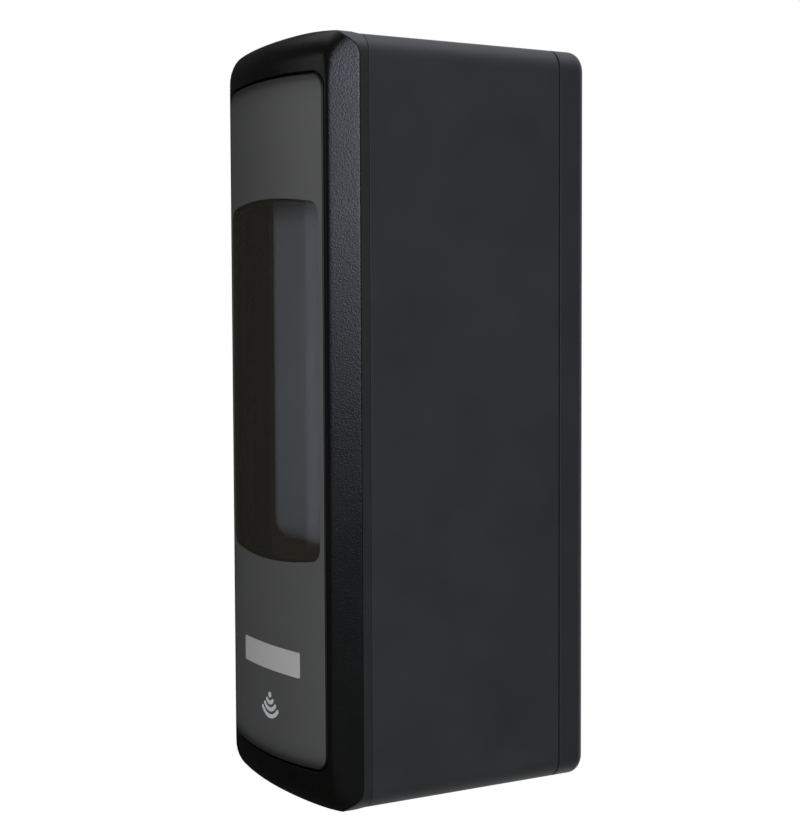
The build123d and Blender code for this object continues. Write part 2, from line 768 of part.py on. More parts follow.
def drive_housing():
    """Open-fronted gear case on the back plate, with a gear wall, screw bosses and bearing holes."""
    housing = block(-drive_half_w, drive_half_w, plate_floor, gear_cover_out, drive_foot, drive_top)
    for out0, out1 in ((plate_floor, gear_wall_out), (gear_wall_out + gear_wall, gear_cover_out)):
        housing -= block(drive_wall - drive_half_w, drive_half_w - drive_wall, out0, out1,
                         drive_foot + drive_wall, drive_top - drive_wall)
    for x, z in drive_screw_places():
        housing += outward(x, z, gear_wall_out, gear_cover_out, boss_r)
        housing -= outward(x, z, gear_wall_out + gear_wall, gear_cover_out, screw_r + screw_fit)
    housing -= outward(drive_x, drive_z, gear_wall_out, gear_wall_out + gear_wall, shaft_r + shaft_clear)
    x, z = idler_place()
    housing -= outward(x, z, gear_wall_out, gear_wall_out + gear_wall, axle_r)
    x, z = motor_place()
    housing -= outward(x, z, gear_wall_out, gear_wall_out + gear_wall, motor_nose_r + screw_fit)
    return housing


def rod_lugs():
    """Lower and upper heights of the two pairs of lugs that hold the guide rods and stop the pusher."""
    lower = yoke_z - bush_h / 2 - stop_gap
    upper = yoke_z + bush_h / 2 + stroke + stop_gap
    return [(lower - lug_t, lower), (upper, upper + lug_t)]


def gear_cover():
    """Front of the gear case with the rod lugs, shaft bearings and the switch slot."""
    cover = block(-drive_half_w, drive_half_w, gear_cover_out, gear_front, drive_foot, drive_top)
    for z0, z1 in rod_lugs():
        lug = block(rod_x - lug_half_w, rod_x + lug_half_w, gear_cover_out, rod_out + lug_half_w, z0, z1)
        cover += both_sides(lug - upright(rod_x, rod_out, z0, z1, rod_r))
    cover -= outward(drive_x, drive_z, gear_cover_out, gear_front, shaft_r + shaft_clear)
    x, z = idler_place()
    cover -= outward(x, z, gear_cover_out, gear_front, axle_r)
    for x, z in drive_screw_places():
        cover -= outward(x, z, gear_cover_out, gear_front, screw_r + screw_fit)
    z = drive_z + switch_up
    slot_w = switch_half_w + switch_clear
    slot_h = switch_half_h + switch_clear
    return cover - block(switch_x - slot_w, switch_x + slot_w, gear_cover_out, gear_front, z - slot_h,
                         z + slot_h + switch_travel)


def power_switch():
    """Switch slider: a stem in the slot and a ribbed knob in front of it."""
    z = drive_z + switch_up
    stem = block(switch_x - switch_half_w, switch_x + switch_half_w, gear_cover_out,
                 gear_front + switch_clear, z - switch_half_h, z + switch_half_h)
    wide = switch_half_w + switch_knob
    tall = switch_half_h + switch_knob
    front = gear_front + switch_clear + switch_knob_t
    knob = block(switch_x - wide, switch_x + wide, gear_front + switch_clear, front, z - tall, z + tall)
    for step in (-1, 0, 1):
        rib_z = z + step * tall / 2
        knob -= block(switch_x - wide, switch_x + wide, front - switch_knob / 2, front,
                      rib_z - switch_knob / 4, rib_z + switch_knob / 4)
    return stem + knob


def guide_rods():
    """Two steel rods that the pusher slides on."""
    (z0, _), (_, z1) = rod_lugs()
    return both_sides(upright(rod_x, rod_out, z0, z1, rod_r))


def rack_outline():
    """Rack in front view, its teeth facing right and a gap level with the drive shaft."""
    pitch_x = drive_x - rack_module * rack_pinion_teeth / 2
    pitch = pi * rack_module
    slope = sin(radians(pressure_angle)) / cos(radians(pressure_angle))
    tip_x = pitch_x + addendum * rack_module
    root_x = pitch_x - dedendum * rack_module
    half_tooth = (pitch / 2 - backlash) / 2
    first = -int((stroke + rack_over) / pitch) - 1
    last = int(rack_over / pitch)
    z0 = drive_z + first * pitch
    z1 = drive_z + (last + 1) * pitch
    points = [(pitch_x - rack_back, z0), (root_x, z0)]
    for tooth in range(first, last + 1):
        middle = drive_z + (tooth + 0.5) * pitch
        wide = half_tooth + dedendum * rack_module * slope
        narrow = half_tooth - addendum * rack_module * slope
        points += [(root_x, middle - wide), (tip_x, middle - narrow), (tip_x, middle + narrow),
                   (root_x, middle + wide)]
    points += [(root_x, z1), (pitch_x - rack_back, z1)]
    return make_face(Polyline(*points, close=True))


def pusher_yoke():
    """Cross bar with two guide bushes, the rack behind it and the fork that lifts the pump collar."""
    z0 = yoke_z - bush_h / 2
    z1 = yoke_z + bush_h / 2
    yoke = block(-yoke_half_w, yoke_half_w, yoke_out, yoke_out + yoke_t, z0, z1)
    bush = upright(rod_x, rod_out, z0, z1, bush_r)
    bush += block(rod_x - bush_r, rod_x + bush_r, rod_out, yoke_out, z0, z1)
    yoke += both_sides(bush)
    yoke += from_front(rack_outline(), rack_out, yoke_out + yoke_t)
    fork = block(-fork_half_w, fork_half_w, yoke_out, pump_out + fork_past, collar_z - fork_t, collar_z)
    slot_r = nozzle_r + fork_clear
    fork -= upright(0, pump_out, collar_z - fork_t, collar_z, slot_r)
    fork -= block(-slot_r, slot_r, pump_out, pump_out + fork_past, collar_z - fork_t, collar_z)
    yoke += fork
    return yoke - both_sides(upright(rod_x, rod_out, z0, z1, rod_r + rod_clear))


def circuit_board():
    """Control board on four posts, with its larger parts."""
    foot = ring_z + board_rise
    rear = plate_floor + board_post_h
    board = block(-board_half_w, board_half_w, rear, rear + board_t, foot, foot + board_h)
    parts_z = foot + board_h / 2
    board += block(-board_half_w / 2, 0, rear + board_t, rear + 2 * board_t, parts_z,
                   parts_z + board_half_w / 2)
    board += outward(board_half_w / 2, parts_z, rear + board_t, rear + board_t + board_post_h, board_post_r)
    board += block(-board_half_w / 2, board_half_w / 2, rear + board_t, rear + board_t + board_post_h,
                   foot + board_t, foot + board_post_h)
    return board


def sensor_housing():
    """Hood for the hand sensor, hung on the gear cover and looking down beside the nozzle."""
    z0 = floor + wall + sensor_lift
    rear = gear_front
    hood = block(-sensor_half_w, sensor_half_w, rear, rear + sensor_d, z0, z0 + sensor_h)
    hood += block(-sensor_half_w, sensor_half_w, rear, rear + sensor_tab_t, z0, z0 + sensor_h + sensor_tab_h)
    hood -= block(lens_inset - sensor_half_w, sensor_half_w - lens_inset, rear + lens_inset,
                  rear + sensor_d - lens_inset, z0, z0 + sensor_lens_t)
    return hood


def sensor_lens():
    """Dark infrared window in the foot of the sensor hood."""
    z0 = floor + wall + sensor_lift
    rear = gear_front
    fit = lens_inset + lens_gap
    lens = block(fit - sensor_half_w, sensor_half_w - fit, rear + fit, rear + sensor_d - fit, z0,
                 z0 + sensor_lens_t)
    return lens - upright(0, rear + sensor_d / 2, z0, z0 + sensor_lens_t, led_r + lens_gap)


def status_led():
    """Small round light in the middle of the sensor window."""
    z0 = floor + wall + sensor_lift
    return upright(0, gear_front + sensor_d / 2, z0, z0 + sensor_lens_t, led_r)


def case_screws():
    """Pan head screws of the gear cover."""
    screws = []
    for x, z in drive_screw_places():
        shank = outward(x, z, gear_front - 4 * screw_head_r, gear_front, screw_r)
        screws.append(shank + outward(x, z, gear_front, gear_front + screw_head_h, screw_head_r))
    return Compound(children=screws)


pieces = [back_plate, hinge_pins, latch_strike, bottle_cradle, refill_bottle, bottle_cap, pump_body,
          battery_box, batteries, battery_contacts, battery_lid, drive_housing, gear_cover, drive_motor,
          idler_axle, guide_rods, circuit_board, sensor_housing, sensor_lens, status_led, case_screws,
          cover_shell, front_bezel, front_panel, window_lens, badge_plate, lock_housing, lock_nut, lock_plug,
          lock_cam, drive_gear, rack_pinion, idler_gear, motor_pinion, pusher_yoke, pump_piston, power_switch]

os.makedirs("parts", exist_ok=True)
for piece in pieces:
    export_step(piece(), f"parts/{piece.__name__}.step")
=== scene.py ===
import json
import math

import bmesh
import bpy
import numpy as np
from mathutils import Matrix, Vector


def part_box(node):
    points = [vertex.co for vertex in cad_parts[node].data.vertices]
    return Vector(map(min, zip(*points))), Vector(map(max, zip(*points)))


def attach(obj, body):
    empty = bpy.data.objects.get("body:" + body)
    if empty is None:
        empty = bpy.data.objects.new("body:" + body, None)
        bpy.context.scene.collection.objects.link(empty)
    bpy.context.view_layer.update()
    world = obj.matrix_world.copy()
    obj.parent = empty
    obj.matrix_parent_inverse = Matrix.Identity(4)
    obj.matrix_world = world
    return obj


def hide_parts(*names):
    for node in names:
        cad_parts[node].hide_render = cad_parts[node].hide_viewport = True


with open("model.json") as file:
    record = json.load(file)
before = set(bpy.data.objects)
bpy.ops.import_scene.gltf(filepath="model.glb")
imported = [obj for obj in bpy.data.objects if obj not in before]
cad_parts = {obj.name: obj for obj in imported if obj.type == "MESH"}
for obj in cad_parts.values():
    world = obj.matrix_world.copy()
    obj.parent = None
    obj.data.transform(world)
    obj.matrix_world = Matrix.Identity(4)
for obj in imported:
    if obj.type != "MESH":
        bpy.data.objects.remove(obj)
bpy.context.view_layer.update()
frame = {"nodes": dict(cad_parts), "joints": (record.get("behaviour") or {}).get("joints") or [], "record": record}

nodes = frame["nodes"]
joints = {joint["name"]: joint for joint in frame["joints"]}

# Back plate
# A shallow tray of black ABS, injection moulded, that four screws hold flat on the wall.
# Its outer edge is well rounded towards the wall, and two arms at its foot carry the cover's hinge.
MM = 0.001
shell_lo, shell_hi = (np.array(corner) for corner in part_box("cover_shell"))
half_w, half_h = shell_hi[0], shell_hi[2]
corner_r = 9.0 * MM
wall = 2.5 * MM
seam = 0.8 * MM
plate_rim = -shell_hi[1] - seam
plate_floor = 3.0 * MM
plate_round = 4.5 * MM
edge_r = 0.35 * MM
boss_r, boss_h = 5.0 * MM, 2.0 * MM
hinge_out = -joints["cover_hinge"]["pos_m"][1]
hinge_z = joints["cover_hinge"]["pos_m"][2]
knuckle_r = hinge_z + half_h
arm_x, arm_w = 22.0 * MM, 8.0 * MM
post_r, post_h = 3.0 * MM, 5.0 * MM
post_x, post_low, post_high = 18.0 * MM, -51.0 * MM, 11.0 * MM
foot_points, side_points = 50, 40
run_x = np.linspace(-1, 1, foot_points)[1:-1]
run_z = np.sin(np.linspace(-np.pi / 2, np.pi / 2, side_points))[1:-1]


def outline(half_x, half_z, radius, middle=0.0, rise=0.0, steps=10):
    """Rounded rectangle seen from the front, from the left of its foot round to the right, as x and z.

    The straight runs take fixed shares of their half length, closer together towards the ends of the sides.
    Each corner is a quarter circle in equal steps, (r sin a, -r cos a) below and (r cos a, r sin a) above.
    The other half is this one turned by half a turn, so loops of any size match point for point. A rise
    arches the top and bottom: heights shrink with x squared, by the rise where the sides are."""
    turn = np.linspace(0, np.pi / 2, steps + 1)
    mid_x, mid_z = half_x - radius, half_z - radius
    foot = np.stack([run_x * mid_x, np.full(len(run_x), -half_z)], -1)
    low = [mid_x, -mid_z] + radius * np.stack([np.sin(turn), -np.cos(turn)], -1)
    side = np.stack([np.full(len(run_z), half_x), run_z * mid_z], -1)
    high = [mid_x, mid_z] + radius * np.stack([np.cos(turn), np.sin(turn)], -1)
    half = np.concatenate([foot, low, side, high])
    loop = np.concatenate([half, -half])
    loop[:, 1] *= 1 - rise / half_z * (loop[:, 0] / half_x) ** 2
    return loop + [0, middle]


def case_outline(inset):
    """The case's front-view outline, drawn in by a distance that also shortens its corner radius."""
    return outline(half_w - inset, half_h - inset, corner_r - inset)


def circle(radius, x=0.0, z=0.0, count=64):
    """Circle as rows of two coordinates: r cos a and r sin a about a middle."""
    angle = np.linspace(0, 2 * np.pi, count, endpoint=False)
    return [x, z] + radius * np.stack([np.cos(angle), np.sin(angle)], -1)


def at_depth(loop, out):
    """Front-view points carried to a distance out from the wall, as x, y and z."""
    return np.stack([loop[:, 0], -out + np.zeros(len(loop)), loop[:, 1]], -1)


def turned_out(mesh):
    """The mesh with double points merged and every closed shell's faces pointing outwards."""
    work = bmesh.new()
    work.from_mesh(mesh)
    bmesh.ops.remove_doubles(work, verts=work.verts, dist=0.001 * MM)
    bmesh.ops.recalc_face_normals(work, faces=work.faces)
    work.to_mesh(mesh)
    work.free()
    return mesh


def skin(rings, ends):
    """Closed surface through loops of equal count: point i of a loop joins point i of the next one.

    The end loops are closed by flat faces ("flat"), or the last loop joins the first one ("joined")."""
    rings = np.asarray(rings)
    index = np.arange(rings.shape[0] * rings.shape[1]).reshape(rings.shape[:2])
    rows = np.concatenate([index, index[:1]]) if ends == "joined" else index
    beside = np.roll(rows, -1, 1)
    faces = np.stack([rows[:-1], beside[:-1], beside[1:], rows[1:]], -1).reshape(-1, 4).tolist()
    if ends == "flat":
        faces += [index[0].tolist(), index[-1].tolist()]
    mesh = bpy.data.meshes.new("surface")
    mesh.from_pydata(rings.reshape(-1, 3).tolist(), [], faces)
    return turned_out(mesh)


def bar(x0, x1, out0, out1, z0, z1):
    """Straight bar: a front-view rectangle carried from one distance off the wall to another."""
    loop = np.array([(x0, z0), (x1, z0), (x1, z1), (x0, z1)])
    return skin([at_depth(loop, out0), at_depth(loop, out1)], "flat")


def carved(body, *cutters):
    """The body's mesh with the cutters' meshes taken away from it."""
    whole = bpy.data.objects.new("whole", body)
    tools = [bpy.data.objects.new("cutter", cutter) for cutter in cutters]
    for thing in (whole, *tools):
        bpy.context.collection.objects.link(thing)
    for tool in tools:
        cut = whole.modifiers.new("cut", "BOOLEAN")
        cut.object = tool
        cut.solver = "EXACT"
    mesh = bpy.data.meshes.new_from_object(whole.evaluated_get(bpy.context.evaluated_depsgraph_get()))
    for thing in (whole, *tools):
        bpy.data.objects.remove(thing)
    return mesh


def make_piece(name, meshes, material, soft=0.0, sharp=35.0):
    """One object from closed meshes, smooth up to the sharp angle, its hard edges softened by a radius."""
    work = bmesh.new()
    for mesh in meshes:
        work.from_mesh(mesh)
    whole = bpy.data.meshes.new(name)
    work.to_mesh(whole)
    work.free()
    whole.polygons.foreach_set("use_smooth", np.ones(len(whole.polygons), bool))
    whole.set_sharp_from_angle(angle=math.radians(sharp))
    whole.materials.clear()
    whole.materials.append(material)
    whole.polygons.foreach_set("material_index", np.zeros(len(whole.polygons), np.int32))
    piece = bpy.data.objects.new(name, whole)
    bpy.context.collection.objects.link(piece)
    if soft:
        bevel = piece.modifiers.new("soft edges", "BEVEL")
        bevel.width = soft
        bevel.segments = 3
        bevel.limit_method = "ANGLE"
        bevel.angle_limit = math.radians(sharp)
        piece.modifiers.new("even shading", "WEIGHTED_NORMAL").keep_sharp = True
    return piece


def linear(colour):
    """sRGB hex colour as linear red, green, blue and a full alpha."""
    value = np.array([int(colour[i:i + 2], 16) for i in (1, 3, 5)]) / 255
    value = np.where(value <= 0.04045, value / 12.92, ((value + 0.055) / 1.055) ** 2.4)
    return (*value.tolist(), 1.0)


def add(tree, kind, sockets=None, **settings):
    """A shader node with its settings, its sockets, by name or number, set to values or linked to outputs."""
    new = tree.nodes.new(kind)
    for name, value in settings.items():
        setattr(new, name, value)
    for name, value in (sockets or {}).items():
        if isinstance(value, bpy.types.NodeSocket):
            tree.links.new(value, new.inputs[name])
        else:
            new.inputs[name].default_value = value
    return new


def new_material(name):
    """A new material, with its node tree and its shader."""
    material = bpy.data.materials.new(name)
    material.use_nodes = True
    return material, material.node_tree, material.node_tree.nodes["Principled BSDF"]


def vary_finish(tree, body, marks, dark, light, roughness, spread):
    """Lets a noise mark a surface: it mixes two shades and moves the roughness by the spread either way."""
    shade = add(tree, "ShaderNodeMixRGB", {"Fac": marks, "Color1": linear(dark), "Color2": linear(light)})
    gloss = add(tree, "ShaderNodeMapRange", {"Value": marks, "From Min": 0.3, "From Max": 0.7,
                                             "To Min": roughness - spread, "To Max": roughness + spread})
    tree.links.new(shade.outputs["Color"], body.inputs["Base Color"])
    tree.links.new(gloss.outputs["Result"], body.inputs["Roughness"])


def moulded_plastic(name, dark, light, roughness, grain, relief, specular=0.5, drift=30 * MM):
    """Injection moulded plastic: two close shades that drift into each other, a gloss that drifts with them,
    and the fine grain that the tool's surface leaves. Grain is a grain's width and relief its height."""
    material, tree, body = new_material(name)
    body.inputs["Specular IOR Level"].default_value = specular
    body.inputs["IOR"].default_value = 1.53
    place = add(tree, "ShaderNodeTexCoord").outputs["Object"]
    clouds = add(tree, "ShaderNodeTexNoise", {"Vector": place, "Scale": 1 / drift, "Detail": 4.0})
    vary_finish(tree, body, clouds.outputs["Fac"], dark, light, roughness, spread=0.03)
    pits = add(tree, "ShaderNodeTexNoise", {"Vector": place, "Scale": 1 / grain, "Detail": 2.0})
    bump = add(tree, "ShaderNodeBump", {"Height": pits.outputs["Fac"], "Distance": relief, "Strength": 1.0})
    tree.links.new(bump.outputs["Normal"], body.inputs["Normal"])
    return material


# ABS from a satin tool: near black, with a soft even sheen and a grain that is only just felt.
plate_abs = moulded_plastic("satin_abs_plate", "#222427", "#282A2D", 0.5, 0.5 * MM, 0.006 * MM, specular=0.3)

# The angles at which every quarter-round edge has its points.
turn = np.linspace(0, np.pi / 2, 10)
rounded_edge = plate_round * np.stack([1 - np.cos(turn), 1 - np.sin(turn)], -1)
plate_profile = [(wall, plate_floor), (wall, plate_rim), (0, plate_rim), *rounded_edge]
tray = skin([at_depth(case_outline(inset), out) for inset, out in plate_profile], "flat")
pattern = next(mount["dims"] for mount in frame["record"]["mounts"] if mount["kind"] == "bolt_pattern")
hole_r = pattern["hole_r_mm"] * MM
screws = [(x * pattern["spacing_x_mm"] * MM / 2, z * pattern["spacing_y_mm"] * MM / 2)
          for x in (-1, 1) for z in (-1, 1)]
holes = [skin([at_depth(circle(hole_r, x, z), out) for out in (-boss_h, plate_rim)], "flat")
         for x, z in screws]
boss_profile = ((boss_r, plate_floor), (boss_r, plate_floor + boss_h), (hole_r, plate_floor + boss_h),
                (hole_r, plate_floor))
bosses = [skin([at_depth(circle(radius, x, z), out) for radius, out in boss_profile], "joined")
          for x, z in screws]
posts = [bar(x - post_r, x + post_r, plate_floor, plate_floor + post_h, z - post_r, z + post_r)
         for x in (-post_x, post_x) for z in (post_low, post_high)]
swing = np.linspace(-np.pi / 2, np.pi / 2, 24)
arm_nose = np.stack([hinge_out + knuckle_r * np.cos(swing), hinge_z + knuckle_r * np.sin(swing)], -1)
arm_side = np.concatenate([[(plate_floor, hinge_z - knuckle_r)], arm_nose,
                           [(plate_floor, hinge_z + knuckle_r)]])


def across(loop, x):
    """Points of a side view, given as distance out and height, set at a place along the width."""
    return np.stack([np.full(len(loop), x), -loop[:, 0], loop[:, 1]], -1)


arms = [skin([across(arm_side, side * arm_x), across(arm_side, side * (arm_x + arm_w))], "flat")
        for side in (-1, 1)]
back_plate = make_piece("back_plate_moulding", [carved(tray, *holes), *bosses, *posts, *arms], plate_abs,
                        edge_r)
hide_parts("back_plate")
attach(back_plate, "chassis")


# Bottle cradle and battery compartment
# A tall bracket of dark grey ABS whose slotted shelf holds the bottle by its neck, and above it a lidded box
# for four round cells in plain sleeves, with bent contacts of nickel plated spring steel at their ends.
def dress(material, *names):
    """Gives solids their finish in place of the plain colour they came with."""
    for name in names:
        for slot in nodes[name].material_slots:
            slot.material = material


def bright_metal(name, dark, light, roughness, line, along, relief=0.002 * MM):
    """Drawn or ground metal: fine lines that run along one axis vary its shade, its gloss and its height.
    Line is the width of one line and relief its height."""
    material, tree, body = new_material(name)
    body.inputs["Metallic"].default_value = 1.0
    place = add(tree, "ShaderNodeTexCoord").outputs["Object"]
    stretch = [0.03 if axis == along else 1.0 for axis in "xyz"]
    drawn = add(tree, "ShaderNodeMapping", {"Vector": place, "Scale": stretch}).outputs["Vector"]
    lines = add(tree, "ShaderNodeTexNoise", {"Vector": drawn, "Scale": 1 / line, "Detail": 3.0})
    vary_finish(tree, body, lines.outputs["Fac"], dark, light, roughness, spread=0.05)
    bump = add(tree, "ShaderNodeBump", {"Height": lines.outputs["Fac"], "Distance": relief, "Strength": 0.6})
    tree.links.new(bump.outputs["Normal"], body.inputs["Normal"])
    return material


cradle_abs = moulded_plastic("satin_abs_cradle", "#2A2B2D", "#323437", 0.45, 0.5 * MM, 0.008 * MM,
                             specular=0.35)
drive_abs = moulded_plastic("satin_abs_black", "#161718", "#1C1D1F", 0.42, 0.5 * MM, 0.008 * MM,
                            specular=0.35)
cell_sleeve = moulded_plastic("shrunk_pvc_sleeve", "#4A4E57", "#555A64", 0.3, 3.0 * MM, 0.01 * MM)
nickel = bright_metal("nickel_plated_spring_steel", "#B4B1A8", "#CFCCC4", 0.25, 0.3 * MM, "z")
dress(cradle_abs, "bottle_cradle")
dress(drive_abs, "battery_box", "battery_lid")
dress(cell_sleeve, "batteries")
dress(nickel, "battery_contacts")

# Pump drive
# A gear case of black ABS holds a small steel motor, a train of white acetal gears and a rack that lifts a
# fork on two ground steel rods. Four pan head screws close it, and a light grey slider switches it on.
acetal = moulded_plastic("natural_acetal", "#D6D1C2", "#E2DED1", 0.35, 0.6 * MM, 0.004 * MM)
steel = bright_metal("ground_steel", "#9A9B9D", "#BBBCBE", 0.3, 0.25 * MM, "y")
switch_abs = moulded_plastic("light_grey_abs", "#B9BBBD", "#C6C8CA", 0.4, 0.5 * MM, 0.006 * MM)
dress(drive_abs, "drive_housing", "gear_cover", "sensor_housing")
dress(acetal, "drive_gear", "rack_pinion", "idler_gear", "pusher_yoke")
dress(steel, "drive_motor", "idler_axle", "guide_rods", "case_screws", "motor_pinion", "hinge_pins",
      "latch_strike", "lock_cam")
dress(switch_abs, "power_switch")

# Control board and hand sensor
# A green glass laminate board stands on the tray's posts. The sensor looks down beside the nozzle through a
# window of acrylic that is black to the eye and clear to infrared, with a small red light in its middle.
laminate = moulded_plastic("solder_masked_laminate", "#12402A", "#1A5236", 0.3, 1.2 * MM, 0.01 * MM,
                           drift=4 * MM)
infrared_acrylic = moulded_plastic("infrared_black_acrylic", "#120A0D", "#190E12", 0.12, 4.0 * MM, 0.001 * MM)
red_epoxy = moulded_plastic("red_epoxy", "#8E1A16", "#A52420", 0.15, 2.0 * MM, 0.001 * MM)
dress(laminate, "circuit_board")
dress(infrared_acrylic, "sensor_lens")
dress(red_epoxy, "status_led")

# Refill bottle
# A blown bottle of milky polyethylene with well rounded corners hangs neck down in the cradle. Its neck ring
# rests on the shelf, and a fluted cap holds the sealed pump, both of natural polypropylene.
bottle_lo, bottle_hi = (np.array(corner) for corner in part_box("refill_bottle"))
bottle_half = (bottle_hi - bottle_lo)[:2] / 2
pump_y = (bottle_lo[1] + bottle_hi[1]) / 2
bottle_corner_r = 13.0 * MM
foot_round, head_round = 9.0 * MM, 5.0 * MM
shelf_t = 3.0 * MM
ring_z0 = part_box("bottle_cradle")[0][2] + shelf_t
ring_r, ring_t = 18.0 * MM, 2.5 * MM
neck_r, neck_wall = 14.0 * MM, 1.7 * MM
shoulder_r, shoulder_h = 25.0 * MM, 12.5 * MM
foot_z = ring_z0 + ring_t + shoulder_h


def bottle_loop(inset, z):
    """The bottle's plan, a rounded rectangle drawn in by a distance, at one height."""
    loop = outline(bottle_half[0] - inset, bottle_half[1] - inset, bottle_corner_r - inset)
    return np.stack([loop[:, 0], pump_y + loop[:, 1], np.full(len(loop), z)], -1)


def bottle_ring(radius, z):
    """A circle about the pump axis whose points stand at the bearings of those of the bottle's plan."""
    loop = outline(*bottle_half, bottle_corner_r)
    bearing = np.arctan2(loop[:, 1], loop[:, 0])
    return np.stack([radius * np.cos(bearing), pump_y + radius * np.sin(bearing), np.full(len(loop), z)], -1)


body_rings = [bottle_loop(head_round * (1 - math.sin(a)), bottle_hi[2] - head_round * (1 - math.cos(a)))
              for a in turn]
foot_rings = [bottle_loop(foot_round * (1 - math.cos(a)), foot_z + foot_round * (1 - math.sin(a)))
              for a in turn]
neck_profile = ((shoulder_r, foot_z), (neck_r, ring_z0 + ring_t), (ring_r, ring_z0 + ring_t),
                (ring_r, ring_z0), (neck_r, ring_z0), (neck_r, bottle_lo[2]),
                (neck_r - neck_wall, bottle_lo[2]), (neck_r - neck_wall, ring_z0 + ring_t))
neck_rings = [bottle_ring(radius, z) for radius, z in neck_profile]
polyethylene = moulded_plastic("milky_polyethylene", "#B6BECE", "#C4CBD9", 0.38, 6.0 * MM, 0.02 * MM,
                               drift=60 * MM)
polypropylene = moulded_plastic("natural_polypropylene", "#D4D7DA", "#E0E3E5", 0.35, 0.8 * MM, 0.004 * MM)
bottle = make_piece("refill_bottle_blown", [skin([*body_rings, *foot_rings, *neck_rings], "flat")],
                    polyethylene)
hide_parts("refill_bottle")
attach(bottle, "chassis")
dress(polypropylene, "bottle_cap", "pump_body", "pump_piston")

# Cover shell
# Four moulded walls of black ABS drop forward on the hinge as one box. The foot has the outlet opening, two
# notches for the hinge arms and the knuckles beside them; the top has a round seat for the lock.
shell_rear, shell_front = -shell_hi[1], -shell_lo[1]
pump_out = -pump_y
outlet_half_w, outlet_behind, outlet_ahead = 18.0 * MM, 29.5 * MM, 12.5 * MM
notch_room = 1.5 * MM
hinge_play, knuckle_w, pin_hole_r = 0.3 * MM, 6.0 * MM, 1.55 * MM
knuckle_x = arm_x + arm_w + hinge_play
knuckle_end = knuckle_x + knuckle_w
rib_t, rib_short = 1.5 * MM, 7.5 * MM
rib_rear, rib_front = hinge_out + knuckle_r, shell_front - rib_short
lock_x, lock_y = joints["lock_turn"]["pos_m"][:2]
lock_seat_r, lock_bore_r, lock_seat_depth = 10.1 * MM, 8.0 * MM, 1.7 * MM
cut_past = 1.0 * MM
beyond, cut_top = half_h + wall, wall - half_h + cut_past


def standing(loop, z):
    """Points of a plan, given as x and y, set at one height."""
    return np.stack([loop[:, 0], loop[:, 1], np.full(len(loop), z)], -1)


shell_profile = ((0, shell_rear), (0, shell_front), (wall, shell_front), (wall, shell_rear))
walls = skin([at_depth(case_outline(inset), out) for inset, out in shell_profile], "joined")
outlet = bar(-outlet_half_w, outlet_half_w, pump_out - outlet_behind, pump_out + outlet_ahead, -beyond,
             cut_top)
notches = [bar(*sorted((side * (arm_x - notch_room), side * knuckle_end)), shell_rear - seam / 2,
               hinge_out + knuckle_r + notch_room, -beyond, cut_top) for side in (-1, 1)]
lock_seat = skin([standing(circle(lock_seat_r, lock_x, lock_y), z)
                  for z in (half_h - lock_seat_depth, beyond)], "flat")
lock_bore = skin([standing(circle(lock_bore_r, lock_x, lock_y), z)
                  for z in (half_h - 2 * wall, beyond)], "flat")
ribs = [bar(*sorted((side * (half_w - wall - rib_t), side * (half_w - wall / 2))), rib_rear, rib_front,
            z, z + rib_t)
        for side in (-1, 1) for z in (-half_h / 2, 0, half_h / 2)]
# A knuckle's side view is round above and square below, where its edge lies at 1 / max(|cos|, |sin|) radii.
rays = circle(1.0)
squared = 1 / np.abs(rays).max(1)
knuckle_side = knuckle_r * np.where(rays[:, 1] < 0, squared, 1.0)
knuckle_outer = [hinge_out, hinge_z] + knuckle_side[:, None] * rays
knuckle_inner = [hinge_out, hinge_z] + pin_hole_r * rays
knuckles = [skin([across(knuckle_outer, side * knuckle_x), across(knuckle_outer, side * knuckle_end),
                  across(knuckle_inner, side * knuckle_end), across(knuckle_inner, side * knuckle_x)],
                 "joined") for side in (-1, 1)]
strips = [bar(*sorted((side * knuckle_x, side * knuckle_end)), out0, out1, -half_h, wall - half_h)
          for side in (-1, 1) for out0, out1 in ((shell_rear, hinge_out - knuckle_r),
                                                 (hinge_out + knuckle_r, hinge_out + knuckle_r + notch_room))]

# ABS from a lightly sandblasted tool: matt, faintly cool black that takes an even, blurred sheen.
shell_abs = moulded_plastic("matt_abs_shell", "#212325", "#2D2F31", 0.55, 0.45 * MM, 0.008 * MM, specular=0.3)
cover_shell = make_piece("cover_shell_moulding",
                         [carved(walls, outlet, *notches, lock_seat, lock_bore), *ribs, *knuckles, *strips],
                         shell_abs, edge_r)
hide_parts("cover_shell")
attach(cover_shell, "cover")

# Lock
# A plated zinc cam lock sits flush in the top of the cover. A hexagon nut clamps its sleeve from inside.
plated_zinc = bright_metal("nickel_plated_zinc", "#A9AAAC", "#C4C5C7", 0.28, 0.4 * MM, "x")
dress(plated_zinc, "lock_housing", "lock_nut", "lock_plug")

# Front bezel
# One moulding of grained black ABS frames the panel. A narrow lip lies level with it, the sides are raked
# back to a crease, and the arched top and foot roll back and meet the raked sides in slanting mitres.
panel_lo, panel_hi = (np.array(corner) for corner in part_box("front_panel"))
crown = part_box("front_bezel")[1][2]
brow, brow_half = crown - half_h, 46.0 * MM
front_r = 190.0 * MM
front_crown = -panel_lo[1]
panel_half_w, panel_half_h = panel_hi[0], panel_hi[2]
panel_corner_r, panel_arch = 6.0 * MM, 1.2 * MM
panel_t, panel_proud, panel_gap, panel_ledge = 3.0 * MM, 0.3 * MM, 0.8 * MM, 3.0 * MM
lip_w, ledge_t, bezel_roll = 1.6 * MM, 2.6 * MM, 14.0 * MM
bezel_seam, return_w = 0.3 * MM, 4.0 * MM
bezel_rear = shell_front + bezel_seam
crease_out = bezel_rear + return_w
tongue_l, tongue_t, slip = 5.0 * MM, 1.8 * MM, 0.2 * MM
bezel_wall = 3.6 * MM
crease_round, lip_round = 0.3 * MM, 0.4 * MM
